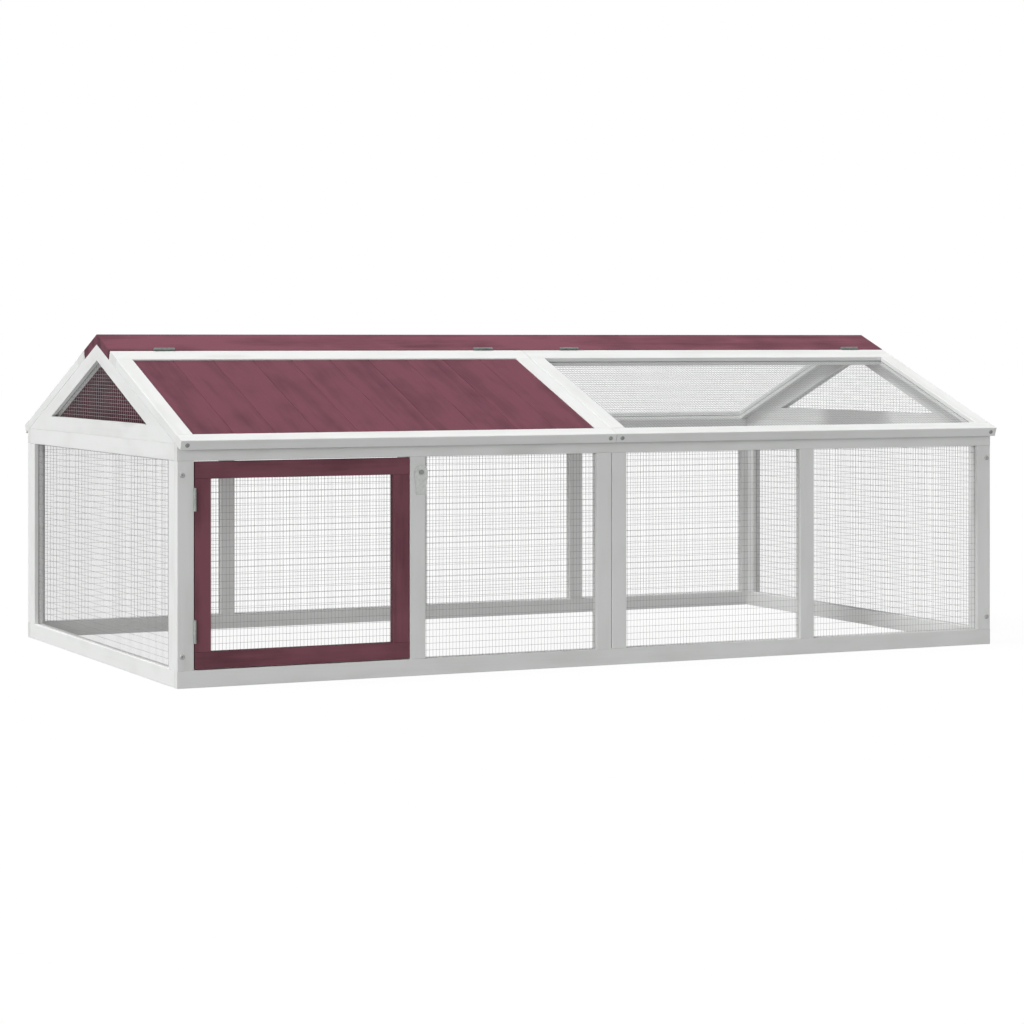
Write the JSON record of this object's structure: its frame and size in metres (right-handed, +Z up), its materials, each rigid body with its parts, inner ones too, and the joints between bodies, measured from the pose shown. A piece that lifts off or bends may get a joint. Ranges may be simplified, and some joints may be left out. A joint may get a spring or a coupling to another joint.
{
  "type": "small animal enclosure",
  "caption": "Long outdoor run for small animals: timber frames with welded wire mesh, a gable roof of planked and mesh lids hinged at the ridge, and a framed mesh door.",
  "frame": {"origin": "on the ground, at the centre of the bounding box's base, under the middle of the ridge", "axes": "+X along the ridge to the right seen from the door side, -Y the front with the door, +Z up"},
  "size_m": [2, 1.1726, 0.7264],
  "materials": {
    "white_wood": "white stained softwood, matt",
    "wine_wood": "wine red stained softwood, matt",
    "galvanised_wire": "galvanised welded wire",
    "zinc_fittings": "zinc plated",
    "screw_steel": "dull zinc"
  },
  "bodies": {
    "frame": {"door_hinge_fixed_leaves": "zinc_fittings", "front_left_lid_hinge_fixed_leaves": "zinc_fittings", "front_mesh": "galvanised_wire", "front_rails": "white_wood", "front_ridge_board": "wine_wood", "front_right_lid_hinge_fixed_leaves": "zinc_fittings", "front_stiles": "white_wood", "left_gable_base": "white_wood", "left_gable_mesh": "galvanised_wire", "left_gable_rafters": "white_wood", "left_mesh": "galvanised_wire", "left_rails": "white_wood", "left_stiles": "white_wood", "rear_left_lid_hinge_fixed_leaves": "zinc_fittings", "rear_mesh": "galvanised_wire", "rear_rails": "white_wood", "rear_ridge_board": "wine_wood", "rear_right_lid_hinge_fixed_leaves": "zinc_fittings", "rear_stiles": "white_wood", "right_gable_base": "white_wood", "right_gable_mesh": "galvanised_wire", "right_gable_rafters": "white_wood", "right_mesh": "galvanised_wire", "right_rails": "white_wood", "right_stiles": "white_wood", "turn_button_screw": "screw_steel"},
    "door": {"door_hinge_moving_leaves": "zinc_fittings", "door_mesh": "galvanised_wire", "door_rails": "wine_wood", "door_stiles": "wine_wood"},
    "front_left_lid": {"front_left_lid_hinge_moving_leaves": "zinc_fittings", "front_left_lid_planks": "wine_wood", "front_left_lid_rails": "white_wood", "front_left_lid_sides": "white_wood"},
    "front_right_lid": {"front_right_lid_hinge_moving_leaves": "zinc_fittings", "front_right_lid_mesh": "galvanised_wire", "front_right_lid_rails": "white_wood", "front_right_lid_sides": "white_wood"},
    "rear_left_lid": {"rear_left_lid_hinge_moving_leaves": "zinc_fittings", "rear_left_lid_planks": "wine_wood", "rear_left_lid_rails": "white_wood", "rear_left_lid_sides": "white_wood"},
    "rear_right_lid": {"rear_right_lid_hinge_moving_leaves": "zinc_fittings", "rear_right_lid_mesh": "galvanised_wire", "rear_right_lid_rails": "white_wood", "rear_right_lid_sides": "white_wood"},
    "latch": {"turn_button": "zinc_fittings"}
  },
  "joints": [
    {"name": "front_left_lid_open", "type": "hinge", "parent": "frame", "child": "front_left_lid", "pos_m": [0, -0.09916, 0.69375], "axis": [-1, 0, 0], "range_deg": [0, 120]},
    {"name": "front_right_lid_open", "type": "hinge", "parent": "frame", "child": "front_right_lid", "pos_m": [0, -0.09916, 0.69375], "axis": [-1, 0, 0], "range_deg": [0, 120]},
    {"name": "rear_left_lid_open", "type": "hinge", "parent": "frame", "child": "rear_left_lid", "pos_m": [0, 0.09916, 0.69375], "axis": [1, 0, 0], "range_deg": [0, 120]},
    {"name": "rear_right_lid_open", "type": "hinge", "parent": "frame", "child": "rear_right_lid", "pos_m": [0, 0.09916, 0.69375], "axis": [1, 0, 0], "range_deg": [0, 120]},
    {"name": "door_swing", "type": "hinge", "parent": "frame", "child": "door", "pos_m": [-0.963, -0.5636, 0.251], "axis": [0, 0, -1], "range_deg": [0, 180]},
    {"name": "latch_turn", "type": "hinge", "parent": "frame", "child": "latch", "pos_m": [-0.457, -0.5615, 0.433], "axis": [0, 1, 0], "continuous": true}
  ]
}
